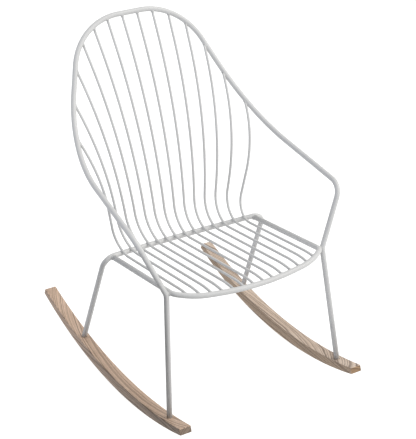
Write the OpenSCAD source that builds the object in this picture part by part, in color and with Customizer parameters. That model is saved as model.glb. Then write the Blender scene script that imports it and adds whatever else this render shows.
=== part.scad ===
// Rocking chair: bent steel bar frames, fourteen wire rods and two curved ash rockers.
// Millimetres. The chair faces -Y, +Z is up, and right is +X, as seen from in front of the chair. The
// origin is on the floor, mid-way between the two places where the rockers touch it at rest. Driving
// sizes are drawn with the chair rolled forward by rest_tilt, and their floor line is where the rockers
// touch the floor in that position.

/* [Bars] */
// Diameter of the bent frame bars
bar_d = 16; // [14:0.5:17]
// Diameter of the thin seat and back rods
rod_d = 8; // [6:0.5:9]
// Depth that a rod sinks into the bar it is welded on
weld_sink = 0.2; // [0.1:0.05:0.3]

/* [Hoop frame] */
// Half of the width across the front feet
foot_half = 295; // [285:1:305]
// Distance of the front feet ahead of the floor line
foot_front = 289; // [270:1:310]
// Half of the width of the hoop frame beside the front seat corners
waist_half = 266; // [262:1:270]
// Distance of the waist bend ahead of the floor line
waist_front = 231; // [220:1:245]
// Height of the waist bend
waist_z = 425; // [410:1:440]
// Radius of the waist bend
waist_r = 30; // [20:1:45]
// Half of the width across the arm fronts
arm_half = 343; // [330:1:355]
// Distance of the arm fronts ahead of the floor line
arm_front = 203; // [190:1:215]
// Height of the arm fronts
arm_z = 599; // [585:1:615]
// Radius of the tight bend at the arm front
arm_r = 51; // [40:1:60]
// Half of the width where the arm starts to rise
rise_half = 319; // [310:1:330]
// Distance behind the floor line where the arm starts to rise
rise_back = 151; // [140:1:165]
// Height where the arm starts to rise
rise_z = 668; // [655:1:680]
// Radius of the two slow bends along the arm and the hoop side
side_r = 398; // [360:2:400]
// Half of the width of the hoop at the shoulder bend's lower end
side_half = 276; // [265:1:285]
// Distance behind the floor line of that point
side_back = 293; // [280:1:305]
// Height of that point
side_z = 771; // [760:1:785]
// Half of the width of the corner that the hoop top is rounded from
crown_half = 173; // [165:1:180]
// Distance behind the floor line of the hoop top
crown_back = 436; // [420:1:450]
// Height of the hoop top's centre line
crown_z = 1008; // [990:1:1025]
// Radius of the rounded hoop top
crown_r = 194; // [180:1:196]

/* [Rear leg frame] */
// Half of the width across the rear feet
rear_foot_half = 296; // [286:1:304]
// Distance of the rear feet behind the floor line
rear_foot_back = 239; // [225:1:255]
// Half of the width of the bend between the crossbar and the rear leg
rear_bend_half = 283; // [276:1:290]
// Distance behind the floor line of that bend
rear_bend_back = 105; // [95:1:115]
// Height of that bend
rear_bend_z = 391; // [380:1:400]
// Radius of that bend
rear_bend_r = 33; // [28:1:50]
// Distance behind the floor line of the point that the crossbar bows towards
cross_bow_back = 174; // [165:1:182]
// Height of the point that the crossbar bows towards
cross_bow_z = 354; // [346:1:362]
// Radius of the bowed crossbar
cross_r = 720; // [640:10:760]

/* [Seat frame] */
// How much nearer the side rails lie to the hoop's waist corners than the width of a bar
rail_close = 1.5; // [1.3:0.1:1.7]
// Height of the side rails at the rear crossbar
rail_rear_z = 383; // [375:1:390]
// Distance of the front corners ahead of the floor line
seat_corner_front = 240; // [232:1:248]
// Height of the front corners
seat_corner_z = 429; // [420:1:438]
// Radius of the front corners
seat_corner_r = 25; // [20:1:30]
// Half of the width where the front bar starts its slow bow
seat_turn_half = 200; // [190:1:210]
// Distance ahead of the floor line of that point
seat_turn_front = 277; // [270:1:284]
// Radius of the turn into the slow bow
seat_turn_r = 200; // [160:10:210]
// Distance ahead of the floor line of the point that the front bar bows towards
seat_bow_front = 312; // [304:1:320]
// Height of the point that the front bar bows towards
seat_bow_z = 414; // [408:1:420]
// Radius of the bowed front bar
seat_bow_r = 760; // [600:10:780]

/* [Rods] */
// Spacing of the rods along the seat
rod_pitch = 33; // [31:0.5:34]
// Upward slope of the rods from the crossbar to the front, in degrees
seat_slope = 7; // [5:0.5:9]
// Distance ahead of the crossbar where the rods start their bend into the back
bend_lead = 42; // [38:0.5:46]
// Radius of that bend at the middle rods
bend_r_mid = 91; // [84:1:96]
// Radius of that bend at the outermost rods
bend_r_side = 65; // [60:1:70]
// Depth of the point below the seat bend that the lower back rods fan out from
fan_low = 1132; // [1100:2:1180]
// Depth of the point below the seat bend that the tops of the middle rods fan out from
fan_top_mid = 1120; // [1080:5:1160]
// Depth of the point that the tops of the outermost rods fan out from
fan_top_side = 983; // [950:1:1010]
// Backward lean of the middle rods just above the seat, in degrees
lean_mid = 11.1; // [9.5:0.1:12.5]
// Backward lean of the outermost rods just above the seat, in degrees
lean_side = -4; // [-6:0.1:-2]
// Height of the back curve's corner above the seat bend at the middle rods
curve_mid = 359; // [346:1:370]
// Height of the back curve's corner above the seat bend at the outermost rods
curve_side = 276; // [266:1:286]
// Length of the last stretch where the rods drop into the front bar
drop_run = 40; // [34:1:46]
// Radius of the bend that starts that stretch
drop_r = 260; // [180:10:300]

/* [Rockers] */
// Half of the distance between the rockers' middles
rocker_half = 297; // [290:1:302]
// Width of a rocker across the chair
rocker_w = 38; // [32:1:42]
// Radius of the rocker's rolling edge
roll_r = 1225; // [1150:5:1300]
// Radius of the rocker's top edge
top_r = 1455; // [1400:5:1550]
// Height of a rocker at the floor line
rocker_h = 34; // [30:1:38]
// Distance that the top edge's centre lies ahead of the floor line
top_shift = 12; // [0:1:20]
// Distance of a rocker's front end ahead of the floor line
rocker_front = 385; // [370:1:400]
// Distance of a rocker's rear end behind the floor line
rocker_rear = 480; // [465:1:495]
// Roll back from the drawing position to the position where the empty chair balances, in degrees
rest_tilt = 4.5; // [0:0.1:8]

/* [Foot joints] */
// Depth of the blind hole that a leg stands in
socket_depth = 12; // [10:1:14]
// Play of the leg in its hole, across the diameter
socket_play = 0.4; // [0.2:0.1:0.6]
// Wood left under the leg
socket_floor = 7; // [5:0.5:8]
// Diameter of the screw that holds the leg
screw_d = 6; // [5:1:6]
// Length of the screw under its head
screw_l = 30; // [24:1:35]
// Height of the screw's button head
head_h = 3.3; // [3:0.1:4]
// Diameter of the screw's button head
head_d = 10.5; // [10:0.5:11]
// Diameter of the washer
washer_d = 12; // [11.5:0.5:13]
// Thickness of the washer
washer_h = 1.2; // [1:0.1:1.6]

/* [Hidden] */
$fn = 72;
steel_white = [0.87, 0.87, 0.85];
ash = [0.76, 0.65, 0.53];
zinc = [0.62, 0.64, 0.66];
rods_a_side = 7;
// Metal left between the key recess and the screw's shank, and the recess's width across corners
head_web = 1.3;
key_d = 4.6;
// Play that a screw thread and a washer leave, across the diameter
thread_play = 0.2;
// Room above the screw's tip in the leg, and play between the washer and the recess it lies in
bore_spare = 3;
washer_play = 1;
// Length of cutters that only have to clear the part, and how far they start outside a face
reach = 60;
cut = 1;

// Vectors
function unit(v) = v / norm(v);
function flip(v) = [-v.x, v.y, v.z];
function flip_all(path) = [for (i = [len(path) - 1:-1:0]) flip(path[i])];
function backwards(list) = [for (i = [len(list) - 1:-1:0]) list[i]];

// Height of a rocker's top edge at a distance behind the floor line
function top_z(y) = rocker_h + top_r - sqrt(top_r * top_r - (y + top_shift) * (y + top_shift));

// A path is a list of corners with a bend radius for each inner corner
function inner_angle(p, i) = acos(unit(p[i - 1] - p[i]) * unit(p[i + 1] - p[i]));
function setback(p, r, i) = i == 0 || i == len(p) - 1 ? 0 : r[i - 1] / tan(inner_angle(p, i) / 2);
function bend_start(p, r, i) = p[i] + unit(p[i - 1] - p[i]) * setback(p, r, i);
function bend_end(p, r, i) = p[i] + unit(p[i + 1] - p[i]) * setback(p, r, i);
function bend_centre(p, r, i) = p[i]
    + unit(unit(p[i - 1] - p[i]) + unit(p[i + 1] - p[i])) * r[i - 1] / sin(inner_angle(p, i) / 2);
// Unit vectors of a bend: from its centre to its start, and along the bar there
function bend_out(p, r, i) = unit(bend_start(p, r, i) - bend_centre(p, r, i));
function bend_along(p, i) = unit(p[i] - p[i - 1]);
// Fineness that keeps the facets of a big radius close to its true curve
function fine(radius) = max($fn, ceil(12 * sqrt(radius)));
bend_steps = 24;
function bend_points(p, r, i) = let (turn = 180 - inner_angle(p, i))
    [for (k = [0:bend_steps]) bend_centre(p, r, i)
        + r[i - 1] * (cos(turn * k / bend_steps) * bend_out(p, r, i)
            + sin(turn * k / bend_steps) * bend_along(p, i))];
function path_points(p, r) = [
    p[0],
    for (i = [1:len(p) - 2]) each bend_points(p, r, i),
    p[len(p) - 1]
];

// A bar bent along a path: straight cylinders joined by torus bends. Each straight laps its bends
// by a little and is a hair thicker, so that the pieces join into one clean solid.
lap = 0.5;
lap_d = 0.04;
module bent_bar(p, r, d) {
    for (i = [0:len(p) - 2]) {
        v = unit(p[i + 1] - p[i]);
        a = i == 0 ? p[0] : bend_end(p, r, i) - lap * v;
        b = i == len(p) - 2 ? p[i + 1] : bend_start(p, r, i + 1) + lap * v;
        straight(a, b, d + lap_d);
    }
    for (i = [1:len(p) - 2]) {
        c = bend_centre(p, r, i);
        e = bend_out(p, r, i);
        f = bend_along(p, i);
        n = cross(e, f);
        multmatrix([[e.x, f.x, n.x, c.x], [e.y, f.y, n.y, c.y], [e.z, f.z, n.z, c.z]])
            rotate_extrude(angle = 180 - inner_angle(p, i), $fn = fine(r[i - 1]))
                translate([r[i - 1], 0])
                    circle(d = d);
    }
}

// A round bar from one point to another
module straight(a, b, d) {
    v = b - a;
    translate(a)
        rotate([0, acos(v.z / norm(v)), atan2(v.y, v.x)])
            cylinder(h = norm(v), d = d);
}

// Legs: the point where each axis meets the rocker's top, and the direction up the leg
front_foot = [foot_half, -foot_front, top_z(-foot_front)];
waist = [waist_half, -waist_front, waist_z];
front_up = unit(waist - front_foot);
rear_foot = [rear_foot_half, rear_foot_back, top_z(rear_foot_back)];
rear_bend = [rear_bend_half, rear_bend_back, rear_bend_z];
rear_up = unit(rear_bend - rear_foot);

// Hoop frame: right foot, up the side, over the top
hoop_right = [
    front_foot - socket_depth * front_up,
    waist,
    [arm_half, -arm_front, arm_z],
    [rise_half, rise_back, rise_z],
    [side_half, side_back, side_z],
    [crown_half, crown_back, crown_z]
];
hoop_path = concat(hoop_right, flip_all(hoop_right));
hoop_radii_right = [waist_r, arm_r, side_r, side_r, crown_r];
hoop_radii = concat(hoop_radii_right, backwards(hoop_radii_right));
hoop_points = path_points(hoop_path, hoop_radii);

// Rear leg frame: right foot, up the leg, along the bowed crossbar
rear_right = [rear_foot - socket_depth * rear_up, rear_bend];
rear_path = concat(rear_right, [[0, cross_bow_back, cross_bow_z]], flip_all(rear_right));
rear_radii = [rear_bend_r, cross_r, rear_bend_r];
rear_points = path_points(rear_path, rear_radii);

// Seat frame: right rail from the crossbar forwards, round the front, back along the left rail.
// The rails touch the hoop's waist bends, where they are welded to it. Their rear ends are cut
// square short of the crossbar's middle, and then saddled to lie against it.
rail_half = waist_half - bar_d + rail_close;
rail_stop = 0.3 * bar_d;
rail_hit = crossing(rear_points, rail_half, 0, 0);
seat_right = [
    [rail_half, rail_hit[0].y - rail_stop, rail_rear_z],
    [rail_half, -seat_corner_front, seat_corner_z],
    [seat_turn_half, -seat_turn_front, (seat_corner_z + seat_bow_z) / 2]
];
seat_path = concat(seat_right, [[0, -seat_bow_front, seat_bow_z]], flip_all(seat_right));
seat_radii = [seat_corner_r, seat_turn_r, seat_bow_r, seat_turn_r, seat_corner_r];
seat_points = path_points(seat_path, seat_radii);

// First place along a run of points where x crosses the plane x = x0 + spread * (z - z0)
function crossing(run, x0, spread, z0, i = 0) =
    let (
        a = run[i],
        b = run[i + 1],
        fa = a.x - x0 - spread * (a.z - z0),
        fb = b.x - x0 - spread * (b.z - z0)
    )
    fa >= 0 && fb < 0 ? [a + (b - a) * fa / (fa - fb), unit(b - a)]
        : crossing(run, x0, spread, z0, i + 1);
function bar_at(run, x) = crossing(run, x, 0, 0)[0];
// The part of the hoop that the rods reach, and the front half of the seat frame
hoop_upper = [for (q = hoop_points) if (q.z > arm_z) q];
seat_front = [for (q = seat_points) if (q.y < -waist_front) q];

// Rod number n counts outwards from the middle, 0 to 6, on the right side
function rod_x(n) = (n + 0.5) * rod_pitch;
// Share of the way from the middle rods to the outermost, growing towards the side. The seat
// bend stays almost the same until the outermost rod, so its share grows later.
function outness(n, power = 2) = pow(rod_x(n) / rod_x(rods_a_side - 1), power);
bend_power = 7;
function blend(a, b, t) = a + (b - a) * t;
// Seat line: forwards and up, with its upward normal
seat_along = [0, -cos(seat_slope), sin(seat_slope)];
seat_up = [0, sin(seat_slope), cos(seat_slope)];
rest_gap = (bar_d + rod_d) / 2 - weld_sink;
function rod_bend_r(n) = blend(bend_r_mid, bend_r_side, outness(n, bend_power));
function rod_bend_start(n) = bar_at(rear_points, rod_x(n))
    + (sqrt(pow(rod_bend_r(n) + rest_gap, 2) - bend_lead * bend_lead) - rod_bend_r(n)) * seat_up
    + bend_lead * seat_along;
function rod_lean(n) = blend(lean_mid, lean_side, outness(n));
function rod_back_dir(n) =
    unit([rod_x(n) / fan_low * cos(rod_lean(n)), sin(rod_lean(n)), cos(rod_lean(n))]);
function rod_setback(n) = rod_bend_r(n) * tan(acos(-seat_along * rod_back_dir(n)) / 2);
function rod_corner(n) = rod_bend_start(n) - rod_setback(n) * seat_along;
function rod_curve(n) = rod_corner(n) + blend(curve_mid, curve_side, outness(n)) * rod_back_dir(n);
function rod_top(n) = crossing(
    hoop_upper,
    rod_x(n),
    rod_x(n) / blend(fan_top_mid, fan_top_side, outness(n)),
    rod_corner(n).z
);
function rod_front(n) = crossing(seat_front, rod_x(n), 0, 0);
function rod_drop(n) = let (s = rod_bend_start(n), run = s.y - rod_front(n)[0].y - drop_run)
    s + run / cos(seat_slope) * seat_along;
// The back curve starts just above the seat bend and ends just under the hoop
curve_share = 0.9;
function rod_curve_r(n) =
    let (
        a = rod_corner(n),
        b = rod_curve(n),
        c = rod_top(n)[0],
        free = min(curve_share * norm(c - b), norm(b - a) - rod_setback(n) - rod_d)
    )
    free * tan(acos(unit(a - b) * unit(c - b)) / 2);

// Room for a bar, given a place on its axis and the direction there, to cope an end that meets it
module cross_cut(bar) {
    straight(bar[0] - reach / 2 * bar[1], bar[0] + reach / 2 * bar[1], bar_d);
}

// One rod on the right side, with its ends coped to the hoop and the front bar
module rod(n) {
    top = rod_top(n);
    front = rod_front(n);
    difference() {
        bent_bar(
            [front[0], rod_drop(n), rod_corner(n), rod_curve(n), top[0]],
            [drop_r, rod_bend_r(n), rod_curve_r(n)],
            rod_d
        );
        cross_cut(top);
        cross_cut(front);
    }
}

// Rolls a piece back to the rest pose, on the side that is asked for: 1 right, -1 left
module place(side) {
    translate([0, 0, roll_r])
        rotate([-rest_tilt, 0, 0])
            translate([0, 0, -roll_r])
                mirror([side < 0 ? 1 : 0, 0, 0])
                    children();
}

module white_rod(number) {
    n = number > rods_a_side ? number - rods_a_side - 1 : rods_a_side - number;
    color(steel_white)
        place(number > rods_a_side ? 1 : -1)
            rod(n);
}

// The screw hole drilled up the end of each leg, a little deeper than the screw goes
module leg_bores(foot, up) {
    a = foot - (socket_depth + cut) * up;
    depth = screw_l - socket_floor + bore_spare;
    for (side = [1, -1])
        mirror([side < 0 ? 1 : 0, 0, 0])
            straight(a, a + (depth + cut) * up, screw_d);
}

module hoop_frame() {
    color(steel_white)
        place(1)
            difference() {
                bent_bar(hoop_path, hoop_radii, bar_d);
                leg_bores(front_foot, front_up);
            }
}

module rear_frame() {
    color(steel_white)
        place(1)
            difference() {
                bent_bar(rear_path, rear_radii, bar_d);
                leg_bores(rear_foot, rear_up);
            }
}

module seat_frame() {
    color(steel_white)
        place(1)
            difference() {
                bent_bar(seat_path, seat_radii, bar_d);
                for (side = [1, -1])
                    mirror([side < 0 ? 1 : 0, 0, 0])
                        cross_cut(rail_hit);
            }
}

// The side view of a rocker, x forwards and y up
module rocker_side() {
    front_angle = asin(rocker_front / roll_r);
    rear_angle = asin(rocker_rear / roll_r);
    difference() {
        translate([0, roll_r])
            circle(r = roll_r, $fn = fine(roll_r));
        translate([top_shift, rocker_h + top_r])
            circle(r = top_r, $fn = fine(top_r));
        translate([0, roll_r])
            rotate(front_angle)
                translate([0, -roll_r - reach])
                    square([roll_r * 2, roll_r * 2]);
        translate([0, roll_r])
            rotate(-rear_angle)
                translate([-roll_r * 2, -roll_r - reach])
                    square([roll_r * 2, roll_r * 2]);
        translate([-roll_r, roll_r])
            square([roll_r * 2, roll_r * 2]);
    }
}

// A leg's blind hole, the screw's hole and the recess for its head
module foot_hole(foot, up) {
    seat = foot - socket_depth * up;
    ledge = seat - socket_floor * up;
    straight(seat, foot + reach * up, bar_d + socket_play);
    straight(ledge - cut * up, seat + cut * up, screw_d + socket_play);
    straight(ledge - reach * up, ledge, washer_d + washer_play);
}

module rocker() {
    difference() {
        translate([rocker_half - rocker_w / 2, 0, 0])
            rotate([90, 0, -90])
                mirror([0, 0, 1])
                    linear_extrude(height = rocker_w)
                        rocker_side();
        foot_hole(front_foot, front_up);
        foot_hole(rear_foot, rear_up);
    }
}

module rocker_left() {
    color(ash)
        place(-1)
            rocker();
}

module rocker_right() {
    color(ash)
        place(1)
            rocker();
}

// Draws its children at all four feet: $ledge is the wood's face that a washer lies on, and $up
// is the direction up the leg
module at_each_foot() {
    for (side = [1, -1])
        place(side)
            for (leg = [[front_foot, front_up], [rear_foot, rear_up]]) {
                $ledge = leg[0] - (socket_depth + socket_floor) * leg[1];
                $up = leg[1];
                children();
            }
}

module foot_washers() {
    color(zinc)
        at_each_foot()
            difference() {
                straight($ledge - washer_h * $up, $ledge, washer_d);
                straight($ledge - reach * $up, $ledge + cut * $up, screw_d + socket_play);
            }
}

module foot_screws() {
    color(zinc)
        at_each_foot() {
            head = $ledge - washer_h * $up;
            difference() {
                union() {
                    straight(head - head_web * $up, head + screw_l * $up, screw_d - thread_play);
                    straight(head - head_h * $up, head, head_d);
                }
                straight(head - reach * $up, head - head_web * $up, key_d, $fn = 6);
            }
        }
}

module rod_01() { white_rod(1); }
module rod_02() { white_rod(2); }
module rod_03() { white_rod(3); }
module rod_04() { white_rod(4); }
module rod_05() { white_rod(5); }
module rod_06() { white_rod(6); }
module rod_07() { white_rod(7); }
module rod_08() { white_rod(8); }
module rod_09() { white_rod(9); }
module rod_10() { white_rod(10); }
module rod_11() { white_rod(11); }
module rod_12() { white_rod(12); }
module rod_13() { white_rod(13); }
module rod_14() { white_rod(14); }

hoop_frame();
rear_frame();
seat_frame();
rod_01();
rod_02();
rod_03();
rod_04();
rod_05();
rod_06();
rod_07();
rod_08();
rod_09();
rod_10();
rod_11();
rod_12();
rod_13();
rod_14();
rocker_left();
rocker_right();
foot_screws();
foot_washers();
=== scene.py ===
"""Looks of the rocking chair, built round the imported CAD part.

The bars follow the same bent paths as the CAD part, so the driving sizes of those paths are
repeated here in millimetres. The chair is drawn in the rolled-forward position that the sizes are
stated in, and then rolled back by REST_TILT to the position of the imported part.
"""

import math

import bmesh
import bpy
from mathutils import Matrix, Vector, noise


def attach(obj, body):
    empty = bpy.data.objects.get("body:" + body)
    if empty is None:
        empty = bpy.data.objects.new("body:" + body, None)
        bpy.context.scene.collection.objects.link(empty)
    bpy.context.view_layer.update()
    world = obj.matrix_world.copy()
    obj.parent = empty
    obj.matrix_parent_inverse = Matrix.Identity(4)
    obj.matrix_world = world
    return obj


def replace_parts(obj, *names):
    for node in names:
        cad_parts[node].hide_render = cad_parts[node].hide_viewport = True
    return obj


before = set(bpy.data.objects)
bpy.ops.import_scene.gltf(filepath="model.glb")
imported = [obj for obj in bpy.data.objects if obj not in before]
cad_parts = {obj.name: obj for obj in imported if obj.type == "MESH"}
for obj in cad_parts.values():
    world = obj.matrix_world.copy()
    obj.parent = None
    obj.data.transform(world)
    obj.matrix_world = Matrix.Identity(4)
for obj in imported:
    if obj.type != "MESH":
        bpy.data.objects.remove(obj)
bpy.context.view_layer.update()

MM = 0.001

# ---------------------------------------------------------------- sizes of the CAD part, lengths in mm
BAR_R = 8.0
ROD_R = 4.0
WELD_SINK = 0.2
REST_TILT = 4.5

# rockers
ROLL_R = 1225.0
TOP_R = 1455.0
TOP_SHIFT = 12.0
ROCKER_H = 34.0
ROCKER_W = 38.0
ROCKER_HALF = 297.0
ROCKER_FRONT = 385.0
ROCKER_REAR = 480.0

# legs in the rockers
SOCKET_DEPTH = 12.0
SOCKET_R = 8.2
SOCKET_FLOOR = 7.0
SCREW_HOLE_R = 3.2
RECESS_R = 6.5


def top_z(y):
    """Height of a rocker's top edge at a distance behind the floor line."""
    return ROCKER_H + TOP_R - math.sqrt(TOP_R**2 - (y + TOP_SHIFT) ** 2)


FRONT_FOOT = Vector((295, -289, top_z(-289)))
WAIST = Vector((266, -231, 425))
FRONT_UP = (WAIST - FRONT_FOOT).normalized()
REAR_FOOT = Vector((296, 239, top_z(239)))
REAR_BEND = Vector((283, 105, 391))
REAR_UP = (REAR_BEND - REAR_FOOT).normalized()

# right halves of the frames' paths, with a radius for each bend
ARM_FRONT = Vector((343, -203, 599))
HOOP_HALF = [
    FRONT_FOOT - SOCKET_DEPTH * FRONT_UP,
    WAIST,
    ARM_FRONT,
    Vector((319, 151, 668)),
    Vector((276, 293, 771)),
    Vector((173, 436, 1008)),
]
HOOP_RADII = [30, 51, 398, 398, 194]
REAR_HALF = [REAR_FOOT - SOCKET_DEPTH * REAR_UP, REAR_BEND]
REAR_RADII = [33]
CROSS_BOW = Vector((0, 174, 354))
CROSS_R = 720
RAIL_HALF = 251.5
RAIL_REAR_Z = 383
SEAT_CORNER = Vector((RAIL_HALF, -240, 429))
SEAT_BOW = Vector((0, -312, 414))
SEAT_TURN = Vector((200, -277, (SEAT_CORNER.z + SEAT_BOW.z) / 2))
SEAT_RADII = [25, 200]
SEAT_BOW_R = 760

# rods: a pair holds the value at the chair's middle and the value for the outermost rods
ROD_PITCH = 33.0
RODS_A_SIDE = 7
SEAT_SLOPE = math.radians(7)
BEND_LEAD = 42.0
BEND_R = (91.0, 65.0)
BEND_POWER = 7
LEAN = (11.1, -4.0)
CURVE = (359.0, 276.0)
CURVE_SHARE = 0.9
FAN_LOW = 1132.0
FAN_TOP = (1120.0, 983.0)
DROP_RUN = 40.0
DROP_R = 260.0

# ---------------------------------------------------------------- sizes of the finish, lengths in mm
EDGE_R = 2.2
SHARPEST_EDGE_R = 0.02
CREASE_ANGLE = math.radians(32)
BAR_CHORD = 3.0
ROD_CHORD = 2.5
LEAST_STEPS = 6
BAR_SIDES = 40
ROD_SIDES = 24
# coped ends are cast from this far back along the bar, and a rod's rings stop this far from its ends
COPE_BACK = 2.5 * BAR_R
COPE_CLEAR = 3 * BAR_R
# weld beads: ripple as a share of the radius and its fineness, then each kind's radius and how far
# its middle lies back from the coped edge
BEAD_RIPPLE = 0.14
BEAD_GRAIN = 0.9
ROD_BEAD_R = 1.5
ROD_BEAD_BACK = 0.2
RAIL_BEAD_R = 2.1
RAIL_BEAD_BACK = 0.3
# the ring of weld where a rail touches the hoop, and where to look for that place
CONTACT_BEAD_R = 1.9
CONTACT_RING_R = 4.8
CONTACT_STEPS = 32
HOOP_ZONE_Z = (380, 480)
SEAT_ZONE_X = 225
SEAT_ZONE_Y = -150
# half sizes and place of the short fillets on both sides of a rod, on top of the crossbar
FILLET_LONG = 4.4
FILLET_WIDE = 1.8
FILLET_HIGH = 1.6
FILLET_ASIDE = 3.3
FILLET_LIFT = 0.6
# their ripple as a share of their size, its fineness, and how much it varies from rod to rod
FILLET_RIPPLE = 0.10
FILLET_GRAIN = 0.5
FILLET_VARIETY = 0.31
# where to look for the place at which a rod lies on the crossbar
ROD_ZONE_RISE = 60
CROSSBAR_ZONE_X = 260


def flip(p):
    return Vector((-p.x, p.y, p.z))


def mirrored(half):
    """A path from the right side carried on over the middle to the left side."""
    return half + [flip(p) for p in reversed(half)]


def blend(pair, share):
    return pair[0] + (pair[1] - pair[0]) * share


def middle(ring):
    return sum(ring, Vector()) / len(ring)


# ---------------------------------------------------------------- paths
class Bend:
    """One rounded corner of a bent bar."""

    def __init__(self, before, corner, after, radius):
        a = (before - corner).normalized()
        b = (after - corner).normalized()
        angle = math.acos(max(-1.0, min(1.0, a.dot(b))))
        self.turn = math.pi - angle
        self.radius = radius
        self.start = corner + a * (radius / math.tan(angle / 2))
        self.centre = corner + (a + b).normalized() * (radius / math.sin(angle / 2))
        self.out = (self.start - self.centre).normalized()
        self.along = -a

    def point(self, turn):
        return self.centre + self.radius * (math.cos(turn) * self.out + math.sin(turn) * self.along)

    def points(self, chord):
        count = max(LEAST_STEPS, math.ceil(self.radius * self.turn / chord))
        return [self.point(self.turn * k / count) for k in range(count + 1)]


def bent_path(corners, radii, chord):
    """Points along a bar bent round each inner corner."""
    points = [corners[0]]
    for before, corner, after, radius in zip(corners, corners[1:], corners[2:], radii):
        points += Bend(before, corner, after, radius).points(chord)
    return points + [corners[-1]]


def crossing(run, x0, spread=0.0, z0=0.0):
    """First place along a run where x crosses x0 + spread * (z - z0), and the direction there."""
    for a, b in zip(run, run[1:]):
        fa = a.x - x0 - spread * (a.z - z0)
        fb = b.x - x0 - spread * (b.z - z0)
        if fa >= 0 > fb:
            return a + (b - a) * (fa / (fa - fb)), (b - a).normalized()
    raise ValueError("the bar doesn't cross that plane")


def nearest(run_a, run_b):
    """The closest pair of points of two runs, each followed by the direction of its run there."""
    _, i, j = min(
        ((a - b).length_squared, i, j)
        for i, a in enumerate(run_a[:-1])
        for j, b in enumerate(run_b[:-1])
    )
    along_a = (run_a[i + 1] - run_a[i]).normalized()
    along_b = (run_b[j + 1] - run_b[j]).normalized()
    return run_a[i], along_a, run_b[j], along_b


def fine_run(run, step=0.5):
    """The same run with a point every step."""
    out = []
    for a, b in zip(run, run[1:]):
        count = max(1, int((b - a).length / step))
        out += [a.lerp(b, k / count) for k in range(count)]
    return out + [run[-1]]


hoop_run = bent_path(mirrored(HOOP_HALF), HOOP_RADII + HOOP_RADII[::-1], BAR_CHORD)
rear_corners = REAR_HALF + [CROSS_BOW] + mirrored(REAR_HALF)[len(REAR_HALF) :]
rear_run = bent_path(rear_corners, REAR_RADII + [CROSS_R] + REAR_RADII, BAR_CHORD)
rail_hit, rail_hit_dir = crossing(rear_run, RAIL_HALF)
SEAT_HALF = [Vector((RAIL_HALF, rail_hit.y, RAIL_REAR_Z)), SEAT_CORNER, SEAT_TURN]
seat_corners = SEAT_HALF + [SEAT_BOW] + mirrored(SEAT_HALF)[len(SEAT_HALF) :]
seat_run = bent_path(seat_corners, SEAT_RADII + [SEAT_BOW_R] + SEAT_RADII[::-1], BAR_CHORD)

hoop_upper = [p for p in hoop_run if p.z > ARM_FRONT.z]
seat_front = [p for p in seat_run if p.y < WAIST.y]


# ---------------------------------------------------------------- meshes
# points closer than this, in metres, are one point
MERGE_M = 1e-7
TILT = (
    Matrix.Translation((0, 0, ROLL_R * MM))
    @ Matrix.Rotation(math.radians(-REST_TILT), 4, "X")
    @ Matrix.Translation((0, 0, -ROLL_R * MM))
)


class Shape:
    """Collects the points and faces of one piece that may have several parts."""

    def __init__(self):
        self.verts = []
        self.faces = []

    def rings(self, rings, loop=False):
        """Skins rings of equal length. Unless they make a loop, both ends get a fan to a middle point."""
        base = len(self.verts)
        n = len(rings[0])
        m = len(rings)
        for ring in rings:
            self.verts += ring
        for i in range(m if loop else m - 1):
            a = base + i * n
            b = base + (i + 1) % m * n
            for k in range(n):
                q = (k + 1) % n
                self.faces.append((a + k, a + q, b + q, b + k))
        if loop:
            return
        for i in (0, m - 1):
            a = base + i * n
            tip = len(self.verts)
            self.verts.append(middle(rings[i]))
            self.faces += [(a + k, a + (k + 1) % n, tip) for k in range(n)]

    def mirror(self):
        """Adds the mirror image of all that is there."""
        count = len(self.verts)
        self.verts += [flip(v) for v in self.verts]
        self.faces += [tuple(count + i for i in reversed(f)) for f in self.faces]

    def mesh(self, name):
        """The shape as a clean mesh in metres, rolled back to rest."""
        mesh = bpy.data.meshes.new(name)
        mesh.from_pydata([TILT @ (v * MM) for v in self.verts], [], self.faces)
        mesh.validate()
        bm = bmesh.new()
        bm.from_mesh(mesh)
        bmesh.ops.remove_doubles(bm, verts=bm.verts, dist=MERGE_M)
        bmesh.ops.recalc_face_normals(bm, faces=bm.faces)
        bm.to_mesh(mesh)
        bm.free()
        return mesh


def link(obj):
    bpy.context.scene.collection.objects.link(obj)
    return obj


def new_piece(name, shape, material):
    """A smooth piece that rides on the chair's one body."""
    mesh = shape.mesh(name)
    mesh.polygons.foreach_set("use_smooth", [True] * len(mesh.polygons))
    mesh.materials.append(material)
    piece = link(bpy.data.objects.new(name, mesh))
    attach(piece, "root")
    return piece


def cross_directions(run):
    """A point and two directions across the run at each of its points, carried along without twist."""
    tangents = [
        (run[min(i + 1, len(run) - 1)] - run[max(i - 1, 0)]).normalized()
        for i in range(len(run))
    ]
    out = []
    side = tangents[0].orthogonal().normalized()
    for i, (p, t) in enumerate(zip(run, tangents)):
        if i:
            side = tangents[i - 1].rotation_difference(t) @ side
        side = (side - side.dot(t) * t).normalized()
        out.append((p, side, t.cross(side)))
    return out


def circle_ring(p, u, v, radius, sides):
    turns = [2 * math.pi * k / sides for k in range(sides)]
    return [p + radius * (math.cos(a) * u + math.sin(a) * v) for a in turns]


def thin_out(run, shortest=0.4):
    """Drops points that lie closer together than a ring needs."""
    out = [run[0]]
    for p in run[1:-1]:
        if (p - out[-1]).length > shortest:
            out.append(p)
    return out + [run[-1]]


def tube_rings(run, radius, sides):
    return [circle_ring(p, u, v, radius, sides) for p, u, v in cross_directions(thin_out(run))]


def coped_ring(ring, heading, bar_point, bar_dir):
    """Carries each point of an end ring along its own bar to the surface of the bar that it meets."""
    across = heading - heading.dot(bar_dir) * bar_dir
    a = across.dot(across)
    out = []
    for q in ring:
        p = q - heading * COPE_BACK
        w = p - bar_point
        w = w - w.dot(bar_dir) * bar_dir
        b = w.dot(across)
        c = w.dot(w) - BAR_R * BAR_R
        out.append(p + heading * ((-b - math.sqrt(max(b * b - a * c, 0.0))) / a))
    return out


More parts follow.
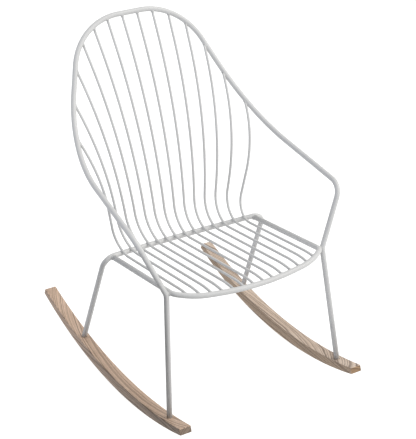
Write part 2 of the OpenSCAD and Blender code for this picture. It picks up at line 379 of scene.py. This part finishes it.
def bead(shape, loop, radius, seed, sides=12):
    """A weld bead: a ring of small circles along a closed loop, with the slight ripple of a weld."""
    centre = middle(loop)
    rings = []
    for i, p in enumerate(loop):
        t = (loop[(i + 1) % len(loop)] - loop[i - 1]).normalized()
        u = p - centre
        u = (u - u.dot(t) * t).normalized()
        place = Vector((p.x * BEAD_GRAIN + seed, p.y * BEAD_GRAIN, p.z * BEAD_GRAIN))
        ripple = 1 + BEAD_RIPPLE * noise.noise(place)
        rings.append(circle_ring(p, u, t.cross(u), radius * ripple, sides))
    shape.rings(rings, loop=True)


def fillet(shape, centre, x, y, z, seed, rows=10, sides=16):
    """A smooth blob of weld with the given half sizes as vectors."""
    rings = []
    for i in range(1, rows):
        a = math.pi * i / rows
        ring = []
        for k in range(sides):
            b = 2 * math.pi * k / sides
            d = math.cos(a) * x + math.sin(a) * (math.cos(b) * y + math.sin(b) * z)
            at = centre * FILLET_VARIETY + d * FILLET_GRAIN + Vector((seed, 0, 0))
            bump = 1 + FILLET_RIPPLE * noise.noise(at)
            ring.append(centre + d * bump)
        rings.append(ring)
    shape.rings(rings)


# ---------------------------------------------------------------- nodes
class Graph:
    """A node tree, with a short call for each kind of node. Values are numbers, colours or outputs."""

    def __init__(self, tree):
        self.nodes = tree.nodes
        self.links = tree.links

    def feed(self, socket, value):
        if isinstance(value, bpy.types.NodeSocket):
            self.links.new(value, socket)
        else:
            socket.default_value = value

    def node(self, kind, **inputs):
        """A node with some of its inputs set. In their names, _ stands for a space."""
        node = self.nodes.new(kind)
        for name, value in inputs.items():
            self.feed(node.inputs[name.replace("_", " ")], value)
        return node

    def maths(self, operation, *values):
        node = self.node("ShaderNodeMath")
        node.operation = operation
        for socket, value in zip(node.inputs, values):
            self.feed(socket, value)
        return node.outputs["Value"]

    def vector_maths(self, operation, a, b):
        node = self.node("ShaderNodeVectorMath")
        node.operation = operation
        self.feed(node.inputs[0], a)
        self.feed(node.inputs[1], b)
        return node.outputs["Value" if operation == "DOT_PRODUCT" else "Vector"]

    def mapping(self, coords, **inputs):
        return self.node("ShaderNodeMapping", Vector=coords, **inputs).outputs["Vector"]

    def split(self, vector):
        return self.node("ShaderNodeSeparateXYZ", Vector=vector).outputs

    def noise(self, coords, scale, detail=2.0, roughness=0.5):
        size = {"Scale": scale, "Detail": detail, "Roughness": roughness}
        return self.node("ShaderNodeTexNoise", Vector=coords, **size).outputs

    def ramp(self, value, stops):
        """A colour ramp. A stop's colour may be a single number, for a grey."""
        node = self.node("ShaderNodeValToRGB", Fac=value)
        elements = node.color_ramp.elements
        while len(elements) < len(stops):
            elements.new(0.5)
        for element, (at, colour) in zip(elements, stops):
            element.position = at
            element.color = (*colour, 1) if isinstance(colour, tuple) else (colour, colour, colour, 1)
        return node.outputs["Color"]

    def mix(self, factor, a, b, blend_type="MIX"):
        node = self.node("ShaderNodeMix")
        node.data_type = "RGBA"
        node.blend_type = blend_type
        # sockets 6 and 7 are the colours A and B
        for socket, value in ((node.inputs["Factor"], factor), (node.inputs[6], a), (node.inputs[7], b)):
            self.feed(socket, value)
        return node.outputs[2]

    def between(self, value, low, high):
        """Turns 0 to 1 into low to high."""
        return self.node("ShaderNodeMapRange", Value=value, To_Min=low, To_Max=high).outputs["Result"]

    def bump(self, height, strength, distance):
        node = self.node("ShaderNodeBump", Height=height, Strength=strength, Distance=distance)
        return node.outputs["Normal"]


# ---------------------------------------------------------------- materials
def material(name):
    mat = bpy.data.materials.new(name)
    mat.use_nodes = True
    return mat, Graph(mat.node_tree), mat.node_tree.nodes["Principled BSDF"].inputs


def powder_coat():
    """Satin powder coat: fine orange peel, faint cloudiness in colour and gloss."""
    mat, graph, shader = material("powder_coated_steel")
    coords = graph.node("ShaderNodeTexCoord").outputs["Object"]
    cloud = graph.noise(coords, 9, 3)["Fac"]
    tint = graph.ramp(cloud, [(0.3, (0.585, 0.585, 0.582)), (0.7, (0.615, 0.615, 0.612))])
    specks = graph.ramp(graph.noise(coords, 1500, 1)["Fac"], [(0.30, 0.93), (0.42, 1.0)])
    graph.feed(shader["Base Color"], graph.mix(1.0, tint, specks, "MULTIPLY"))
    graph.feed(shader["Roughness"], graph.between(cloud, 0.36, 0.48))
    shader["IOR"].default_value = 1.5
    peel = graph.noise(coords, 620, 2, 0.55)["Fac"]
    fine = graph.noise(coords, 2600, 1)["Fac"]
    height = graph.maths("MULTIPLY_ADD", fine, 0.25, peel)
    graph.feed(shader["Normal"], graph.bump(height, 0.35, 0.00025))
    return mat


def waved(graph, board):
    """Places in the board, pushed aside by the slow waves of the trunk, long along the grain."""
    wave = graph.noise(graph.mapping(board, Scale=(13, 3.0, 13)), 1, 3, 0.55)["Color"]
    centred = graph.vector_maths("SUBTRACT", wave, (0.5, 0.5, 0.5))
    push = graph.vector_maths("MULTIPLY", centred, (0.013, 0.0, 0.013))
    return graph.vector_maths("ADD", board, push)


def wood_age(graph, grain, heart, ring_mm):
    """Years from the heart line at (x, z). Rings are wide in good years and narrow in poor ones."""
    xyz = graph.split(grain)
    dx = graph.maths("SUBTRACT", xyz["X"], heart[0])
    dz = graph.maths("SUBTRACT", xyz["Z"], heart[1])
    squares = graph.maths("MULTIPLY_ADD", dx, dx, graph.maths("MULTIPLY", dz, dz))
    evenly = graph.maths("MULTIPLY", graph.maths("SQRT", squares), 1000 / ring_mm)
    years = graph.node("ShaderNodeTexNoise", Scale=0.45)
    years.noise_dimensions = "1D"
    graph.feed(years.inputs["W"], evenly)
    return graph.maths("MULTIPLY_ADD", years.outputs["Fac"], 2.4, evenly)


def ring_strength(graph, age):
    """How dark the ring of each year is drawn, from 0.45 to 1."""
    lot = graph.node("ShaderNodeTexWhiteNoise")
    lot.noise_dimensions = "1D"
    graph.feed(lot.inputs["W"], graph.maths("FLOOR", age))
    return graph.maths("MULTIPLY_ADD", lot.outputs["Value"], 0.55, 0.45)


# early wood is a dark porous band (0) with a sharp inner edge, and fades into pale late wood (1)
LATE_WOOD = [(0.0, 0.45), (0.07, 0.0), (0.22, 0.10), (0.48, 0.80), (0.93, 1.0), (1.0, 0.45)]
PORE_COLOUR = (0.12, 0.075, 0.05, 1)


def ash_wood(name, move, heart, lean, ring_mm, pale_tones, dark_tones, side_shade_tone, end_grain_and_shade_tone):
    """Open-grain ash, sawn straight from a board: growth rings round a heart line that runs nearly
    along the rocker, so the curved faces cut them into long lines and pointed arches."""
    mat, graph, shader = material(name)
    place = graph.node("ShaderNodeTexCoord").outputs
    board = graph.mapping(place["Object"], Rotation=(math.radians(REST_TILT), 0, 0), Location=move)
    board = graph.mapping(board, Rotation=lean)
    grain = waved(graph, board)
    age = wood_age(graph, grain, heart, ring_mm)
    late = graph.ramp(graph.maths("FRACT", age), LATE_WOOD)
    early = graph.maths("SUBTRACT", 1.0, late)

    # pores: short dark dashes along the grain, most of them in the early wood
    dashes = graph.noise(graph.mapping(grain, Scale=(1500, 60, 1500)), 1, 1)["Fac"]
    pore_share = graph.maths("MULTIPLY_ADD", early, 0.75, 0.15)
    pore = graph.maths("MULTIPLY", graph.ramp(dashes, [(0.36, 1.0), (0.47, 0.0)]), pore_share)

    # tones: pale and dark wood in patches, under fine streaks of fibre
    fibre = graph.noise(graph.mapping(grain, Scale=(380, 6, 380)), 1, 4, 0.6)["Fac"]
    patch = graph.noise(graph.mapping(board, Scale=(26, 5, 26)), 1, 3)["Fac"]
    pale = graph.ramp(patch, [(0.32, pale_tones[0]), (0.68, pale_tones[1])])
    dark = graph.ramp(patch, [(0.32, dark_tones[0]), (0.68, dark_tones[1])])
    body = graph.mix(graph.maths("MULTIPLY", early, ring_strength(graph, age)), pale, dark)
    streak = graph.ramp(fibre, [(0.25, (0.84, 0.82, 0.80)), (0.75, (1.10, 1.10, 1.10))])
    body = graph.mix(1.0, body, streak, "MULTIPLY")
    body = graph.mix(graph.maths("MULTIPLY", pore, 0.5), body, PORE_COLOUR)

    # faces that look sideways or endways in the chair's own axes are toned darker than the top: on the
    # sides this is painted shade, on the ends it is end grain with painted shade
    facing = graph.split(place["Normal"])
    for axis, tone in (("X", side_shade_tone), ("Y", end_grain_and_shade_tone)):
        turned_to = graph.maths("ABSOLUTE", facing[axis])
        painted_shade_share = graph.node("ShaderNodeMapRange", Value=turned_to, From_Min=0.70, From_Max=0.85)
        shade_toned = graph.mix(1.0, body, tone, "MULTIPLY")
        body = graph.mix(painted_shade_share.outputs["Result"], body, shade_toned)
    graph.feed(shader["Base Color"], body)
    graph.feed(shader["Roughness"], graph.between(late, 0.62, 0.50))
    relief = graph.maths("MULTIPLY_ADD", fibre, 0.3, graph.maths("MULTIPLY", early, -0.25))
    graph.feed(shader["Normal"], graph.bump(graph.maths("SUBTRACT", relief, pore), 0.5, 0.00018))
    return mat


def zinc_plate():
    """Bright zinc on turned steel: fine turning marks and mottled gloss."""
    mat, graph, shader = material("zinc_steel")
    coords = graph.node("ShaderNodeTexCoord").outputs["Object"]
    mottle = graph.noise(coords, 420, 3)["Fac"]
    tint = graph.ramp(mottle, [(0.3, (0.50, 0.52, 0.55)), (0.7, (0.66, 0.67, 0.68))])
    graph.feed(shader["Base Color"], tint)
    shader["Metallic"].default_value = 1.0
    graph.feed(shader["Roughness"], graph.between(mottle, 0.28, 0.46))
    marks = graph.noise(graph.mapping(coords, Scale=(300, 300, 4000)), 1, 1)["Fac"]
    graph.feed(shader["Normal"], graph.bump(marks, 0.25, 0.00005))
    return mat


STEEL = powder_coat()
ASH = {
    "rocker_left": ash_wood(
        "ash_left",
        move=(0.297, 0.13, 0.0),
        heart=(0.100, -0.030),
        lean=(math.radians(0.5), 0, math.radians(1.2)),
        ring_mm=3.9,
        pale_tones=((0.66, 0.475, 0.345), (0.80, 0.600, 0.460)),
        dark_tones=((0.17, 0.108, 0.078), (0.27, 0.180, 0.135)),
        # the side tone is painted shade, the end tone is end grain with painted shade
        side_shade_tone=(0.68, 0.66, 0.63, 1),
        end_grain_and_shade_tone=(0.39, 0.39, 0.38, 1),
    ),
    "rocker_right": ash_wood(
        "ash_right",
        move=(-0.297, -0.41, 0.02),
        heart=(-0.085, -0.030),
        lean=(math.radians(-3), 0, math.radians(-2.5)),
        ring_mm=5.0,
        pale_tones=((0.62, 0.485, 0.380), (0.76, 0.625, 0.510)),
        dark_tones=((0.11, 0.072, 0.054), (0.18, 0.122, 0.092)),
        # the side tone is painted shade, the end tone is end grain with painted shade
        side_shade_tone=(0.74, 0.66, 0.55, 1),
        end_grain_and_shade_tone=(0.54, 0.42, 0.28, 1),
    ),
}
ZINC = zinc_plate()


# ---------------------------------------------------------------- bars
def steel_piece(name, shape):
    return new_piece(name, shape, STEEL)


def bar(name, rings):
    """A steel bar with these rings, in place of the CAD node of that name."""
    shape = Shape()
    shape.rings(rings)
    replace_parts(steel_piece(name + "_bar", shape), name)


bar("hoop_frame", tube_rings(hoop_run, BAR_R, BAR_SIDES))
bar("rear_frame", tube_rings(rear_run, BAR_R, BAR_SIDES))

# the seat frame's two ends are coped to the crossbar
seat_rings = tube_rings(seat_run, BAR_R, BAR_SIDES)
rail_heading = (seat_run[0] - seat_run[1]).normalized()
right_end = coped_ring(seat_rings[0], rail_heading, rail_hit, rail_hit_dir)
left_end = coped_ring(seat_rings[-1], flip(rail_heading), flip(rail_hit), flip(rail_hit_dir))
bar("seat_frame", [right_end] + seat_rings[1:-1] + [left_end])


# ---------------------------------------------------------------- rods
SEAT_ALONG = Vector((0, -math.cos(SEAT_SLOPE), math.sin(SEAT_SLOPE)))
SEAT_UP = Vector((0, math.sin(SEAT_SLOPE), math.cos(SEAT_SLOPE)))
REST_GAP = BAR_R + ROD_R - WELD_SINK


class Rod:
    """Rod number n of the right side, counted from 0 at the middle."""

    def __init__(self, n):
        self.n = n
        self.lay_out()
        rings = tube_rings(self.run, ROD_R, ROD_SIDES)
        front, top = self.run[0], self.run[-1]
        self.front_heading = (front - self.run[1]).normalized()
        self.top_heading = (top - self.run[-2]).normalized()
        self.front_ring = coped_ring(rings[0], self.front_heading, *self.at_front)
        self.top_ring = coped_ring(rings[-1], self.top_heading, *self.at_top)
        near_front = [p - self.front_heading * COPE_CLEAR for p in rings[0]]
        near_top = [p - self.top_heading * COPE_CLEAR for p in rings[-1]]
        body = [
            ring
            for ring in rings[1:-1]
            if (middle(ring) - front).length > COPE_CLEAR and (middle(ring) - top).length > COPE_CLEAR
        ]
        self.skin = [self.front_ring, near_front] + body + [near_top, self.top_ring]

    def lay_out(self):
        """Works out the rod's path, and the place and direction of the bars at both its ends."""
        x = (self.n + 0.5) * ROD_PITCH
        ratio = x / ((RODS_A_SIDE - 0.5) * ROD_PITCH)
        out = ratio**2
        radius = blend(BEND_R, ratio**BEND_POWER)
        on_bar = crossing(rear_run, x)[0]
        lift = math.sqrt((radius + REST_GAP) ** 2 - BEND_LEAD**2) - radius
        start = on_bar + lift * SEAT_UP + BEND_LEAD * SEAT_ALONG
        lean = math.radians(blend(LEAN, out))
        back = Vector((x / FAN_LOW * math.cos(lean), math.sin(lean), math.cos(lean))).normalized()
        setback = radius * math.tan(math.acos((-SEAT_ALONG).dot(back)) / 2)
        corner = start - setback * SEAT_ALONG
        curve = corner + blend(CURVE, out) * back
        self.at_top = crossing(hoop_upper, x, x / blend(FAN_TOP, out), corner.z)
        self.at_front = crossing(seat_front, x)
        top, front = self.at_top[0], self.at_front[0]
        seat_run_y = start.y - front.y - DROP_RUN
        drop = start + seat_run_y / math.cos(SEAT_SLOPE) * SEAT_ALONG
        free = min(CURVE_SHARE * (top - curve).length, (curve - corner).length - setback - 2 * ROD_R)
        bend = math.acos((corner - curve).normalized().dot((top - curve).normalized()))
        radii = [DROP_R, radius, free * math.tan(bend / 2)]
        self.bend_z = corner.z
        self.run = bent_path([front, drop, corner, curve, top], radii, ROD_CHORD)

    def bars(self):
        """The rod's piece on the left side and its piece on the right side."""
        bar(f"rod_{RODS_A_SIDE - self.n:02d}", [[flip(p) for p in ring] for ring in self.skin])
        bar(f"rod_{RODS_A_SIDE + 1 + self.n:02d}", self.skin)

    def crossbar_fillets(self, shape):
        """The rod lies on the crossbar, with a short fillet of weld on each side of it."""
        near = [p for p in self.run if p.y > 0 and p.z < self.bend_z + ROD_ZONE_RISE]
        crossbar = [p for p in rear_run if 0 < p.x < CROSSBAR_ZONE_X]
        rod_p, rod_d, bar_p, bar_d = nearest(fine_run(near), fine_run(crossbar))
        up = (rod_p - bar_p).normalized()
        for side in (-1, 1):
            centre = bar_p + up * (BAR_R + FILLET_LIFT) + bar_d * (FILLET_ASIDE * side)
            seed = 40 + 2 * self.n + side
            fillet(shape, centre, rod_d * FILLET_LONG, bar_d * FILLET_WIDE, up * FILLET_HIGH, seed)


def pulled_back(ring, heading, distance):
    return [p - heading * distance for p in ring]


welds_hoop = Shape()
welds_front = Shape()
welds_cross = Shape()
for n in range(RODS_A_SIDE):
    rod = Rod(n)
    rod.bars()
    top_loop = pulled_back(rod.top_ring, rod.top_heading, ROD_BEAD_BACK)
    bead(welds_hoop, top_loop, ROD_BEAD_R, seed=n)
    front_loop = pulled_back(rod.front_ring, rod.front_heading, ROD_BEAD_BACK)
    bead(welds_front, front_loop, ROD_BEAD_R, seed=20 + n)
    rod.crossbar_fillets(welds_cross)


# ---------------------------------------------------------------- frame welds
def contact_loop():
    """The loop round the place where the right rail touches the hoop's waist bend."""
    hoop_p, hoop_d, seat_p, _ = nearest(
        fine_run([p for p in hoop_run if p.x > 0 and HOOP_ZONE_Z[0] < p.z < HOOP_ZONE_Z[1]]),
        fine_run([p for p in seat_run if p.x > SEAT_ZONE_X and p.y < SEAT_ZONE_Y]),
    )
    axis = (seat_p - hoop_p).normalized()
    u = (hoop_d - hoop_d.dot(axis) * axis).normalized()
    return circle_ring((hoop_p + seat_p) / 2, u, axis.cross(u), CONTACT_RING_R, CONTACT_STEPS)


welds_frame = Shape()
bead(welds_frame, pulled_back(right_end, rail_heading, RAIL_BEAD_BACK), RAIL_BEAD_R, seed=70)
bead(welds_frame, contact_loop(), CONTACT_BEAD_R, seed=80)
for name, shape in (
    ("welds_hoop", welds_hoop),
    ("welds_front", welds_front),
    ("welds_cross", welds_cross),
    ("welds_frame", welds_frame),
):
    shape.mirror()
    steel_piece(name, shape)


# ---------------------------------------------------------------- rockers
def rocker_height(angle):
    """Distance from the rolling centre to the top edge along a radial line."""
    drop = ROCKER_H + TOP_R - ROLL_R
    b = -TOP_SHIFT * math.sin(angle) + drop * math.cos(angle)
    return -b + math.sqrt(b * b - (TOP_SHIFT**2 + drop**2 - TOP_R**2))


def rounded_section(half_w, low, high, inset, corner_steps=6):
    """A rounded rectangle as (x, radius) pairs, shrunk by inset on every side."""
    r = max(EDGE_R - inset, SHARPEST_EDGE_R)
    corners = [
        (half_w - inset - r, high + inset + r, -90),
        (half_w - inset - r, low - inset - r, 0),
        (-half_w + inset + r, low - inset - r, 90),
        (-half_w + inset + r, high + inset + r, 180),
    ]
    out = []
    for cx, cz, start in corners:
        for k in range(corner_steps + 1):
            a = math.radians(start + 90 * k / corner_steps)
            out.append((cx + r * math.cos(a), cz + r * math.sin(a)))
    return out


def rocker_rings(side, edge_steps=6, length_steps=150):
    """Rings from the rear end to the front end, with both end faces' edges rounded."""
    first = -math.asin(ROCKER_REAR / ROLL_R)
    last = math.asin(ROCKER_FRONT / ROLL_R)
    # stations are an angle about the rolling centre and how much the section is shrunk there
    rear = []
    for k in reversed(range(edge_steps + 1)):
        a = math.pi / 2 * k / edge_steps
        rear.append((first + EDGE_R * (1 - math.sin(a)) / ROLL_R, EDGE_R * (1 - math.cos(a))))
    inner = [(first + (last - first) * k / length_steps, 0.0) for k in range(1, length_steps)]
    front = [(first + last - a, inset) for a, inset in reversed(rear)]
    rings = []
    for angle, inset in rear + inner + front:
        ring = []
        for x, rho in rounded_section(ROCKER_W / 2, ROLL_R, rocker_height(angle), inset):
            y, z = -rho * math.sin(angle), ROLL_R - rho * math.cos(angle)
            ring.append(Vector((side * (ROCKER_HALF + x), y, z)))
        rings.append(ring)
    return rings


def cut(piece, shapes):
    """Takes the shapes away from the piece and keeps the result as its mesh."""
    cutters = []
    for shape in shapes:
        cutter = link(bpy.data.objects.new("cutter", shape.mesh("cutter")))
        cutters.append(cutter)
        modifier = piece.modifiers.new("cut", "BOOLEAN")
        modifier.operation = "DIFFERENCE"
        modifier.solver = "EXACT"
        modifier.object = cutter
    bpy.context.view_layer.update()
    result = bpy.data.meshes.new_from_object(piece.evaluated_get(bpy.context.evaluated_depsgraph_get()))
    piece.modifiers.clear()
    piece.data = result
    for cutter in cutters:
        bpy.data.objects.remove(cutter)


def foot_cutter(foot, up, side, reach=60, sides=48):
    """The leg's socket, the screw's hole and the recess for its head, turned about the leg's axis."""
    floor = -SOCKET_DEPTH
    ledge = floor - SOCKET_FLOOR
    profile = [
        (-reach, RECESS_R),
        (ledge, RECESS_R),
        (ledge, SCREW_HOLE_R),
        (floor, SCREW_HOLE_R),
        (floor, SOCKET_R),
        (reach, SOCKET_R),
    ]
    u = up.orthogonal().normalized()
    shape = Shape()
    shape.rings([circle_ring(foot + up * h, u, up.cross(u), r, sides) for h, r in profile])
    if side < 0:
        shape.verts = [flip(p) for p in shape.verts]
    return shape


for name, side in (("rocker_left", -1), ("rocker_right", 1)):
    shape = Shape()
    shape.rings(rocker_rings(side))
    piece = new_piece(name + "_wood", shape, ASH[name])
    cut(piece, [foot_cutter(FRONT_FOOT, FRONT_UP, side), foot_cutter(REAR_FOOT, REAR_UP, side)])
    piece.data.polygons.foreach_set("use_smooth", [True] * len(piece.data.polygons))
    piece.data.set_sharp_from_angle(angle=CREASE_ANGLE)
    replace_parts(piece, name)

for name in ("foot_screws", "foot_washers"):
    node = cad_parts[name]
    node.data.materials.clear()
    node.data.materials.append(ZINC)


# ---------------------------------------------------------------- stage, in metres
STAGE_HALF = 30.0
FLOOR_DROP = 0.0004
WHITE = (1, 1, 1, 1)
FLOOR_PAINT = {
    "Base Color": (0.35, 0.35, 0.35, 1),
    "Roughness": 0.9,
    "Specular IOR Level": 0.0,
    "Emission Color": WHITE,
    "Emission Strength": 0.90,
}
DOME_PAINT = {"Base Color": (0, 0, 0, 1), "Emission Color": WHITE, "Emission Strength": 1.1}
CARD_PAINT = {"Base Color": (0.02, 0.02, 0.02, 1), "Roughness": 1.0}
CARD_X = -0.53
CARD_FRONT = -0.85
CARD_TOP = 0.50


def paint(name, inputs):
    mat, _, shader = material(name)
    for socket, value in inputs.items():
        shader[socket].default_value = value
    return mat


def panel(name, corners, finish):
    mesh = bpy.data.meshes.new(name)
    mesh.from_pydata(corners, [], [(0, 1, 2, 3)])
    mesh.materials.append(finish)
    return link(bpy.data.objects.new(name, mesh))


def hidden_from_light(obj, glossy=False):
    """Takes obj out of the light that the chair gets. Glossy rays may still see it."""
    obj.visible_diffuse = False
    obj.visible_glossy = glossy
    obj.visible_transmission = False
    obj.visible_volume_scatter = False


def stage():
    """A white floor, a white dome round it, and a black card."""
    square = [(x * STAGE_HALF, y * STAGE_HALF, 0) for x, y in ((-1, -1), (1, -1), (1, 1), (-1, 1))]
    floor = panel("floor", square, paint("floor_white", FLOOR_PAINT))
    floor.location.z = -FLOOR_DROP
    hidden_from_light(floor, glossy=True)
    bpy.ops.mesh.primitive_uv_sphere_add(segments=48, ring_count=24, radius=STAGE_HALF * 0.95)
    dome = bpy.context.object
    dome.name = "dome"
    dome.data.materials.append(paint("dome_white", DOME_PAINT))
    hidden_from_light(dome)
    dome.visible_shadow = False
    # the card stands beside the left rocker, hidden from the camera, and darkens what faces it
    outline = ((CARD_FRONT, 0), (0, 0), (0, CARD_TOP), (CARD_FRONT, CARD_TOP))
    upright = [(CARD_X, y, z) for y, z in outline]
    card = panel("card", upright, paint("card_black", CARD_PAINT))
    card.visible_camera = False


# ---------------------------------------------------------------- light and camera
AMBIENT = 0.78
AMBIENT_SLOPE = Vector((0.02, -0.12, 0.04))
COOL = (0.86, 0.90, 1.0)
WARM = (1.0, 0.998, 0.985)
AZIMUTH = math.radians(-31.70)
ELEVATION = math.radians(27.05)
DISTANCE = 4197 * MM
AIM = Vector((0, -19.8, 498.3)) * MM
LENS = 116.5
SENSOR = 36.0


def ambient_light():
    """Light from all round, a little stronger from the front and above, and cool from the left."""
    world = bpy.data.worlds.new("studio")
    bpy.context.scene.world = world
    world.use_nodes = True
    graph = Graph(world.node_tree)
    background = world.node_tree.nodes["Background"].inputs
    direction = graph.node("ShaderNodeTexCoord").outputs["Generated"]
    slope = graph.vector_maths("DOT_PRODUCT", direction, AMBIENT_SLOPE)
    graph.feed(background["Strength"], graph.maths("ADD", slope, AMBIENT))
    rightness = graph.maths("MULTIPLY_ADD", graph.split(direction)["X"], 0.5, 0.5)
    graph.feed(background["Color"], graph.ramp(rightness, [(0.05, COOL), (0.40, WARM)]))
    bpy.context.scene.view_settings.view_transform = "Standard"


def sun(name, towards, angle, power, colour):
    """Soft light of even strength from one direction."""
    light = bpy.data.lights.new(name, "SUN")
    light.angle = math.radians(angle)
    light.energy = power
    light.color = colour
    lamp = link(bpy.data.objects.new(name, light))
    lamp.rotation_mode = "QUATERNION"
    lamp.rotation_quaternion = (-towards).to_track_quat("-Z", "Y")


def camera():
    """A long lens, far in front of the chair, to the left and looking down, rolled with the chair."""
    level = math.cos(ELEVATION)
    back = Vector((math.sin(AZIMUTH) * level, -math.cos(AZIMUTH) * level, math.sin(ELEVATION)))
    right = Vector((math.cos(AZIMUTH), math.sin(AZIMUTH), 0))
    turn = Matrix((right, back.cross(right), back)).transposed().to_4x4()
    data = bpy.data.cameras.new("camera")
    data.sensor_width = SENSOR
    data.lens = LENS
    data.clip_start = 0.05
    data.clip_end = 2 * STAGE_HALF
    cam = link(bpy.data.objects.new("camera", data))
    cam.matrix_world = TILT @ Matrix.Translation(AIM + DISTANCE * back) @ turn
    bpy.context.scene.camera = cam


stage()
ambient_light()
sun("key", towards=Vector((0.62, -0.38, 0.70)), angle=45, power=1.32, colour=(1.0, 0.985, 0.96))
camera()
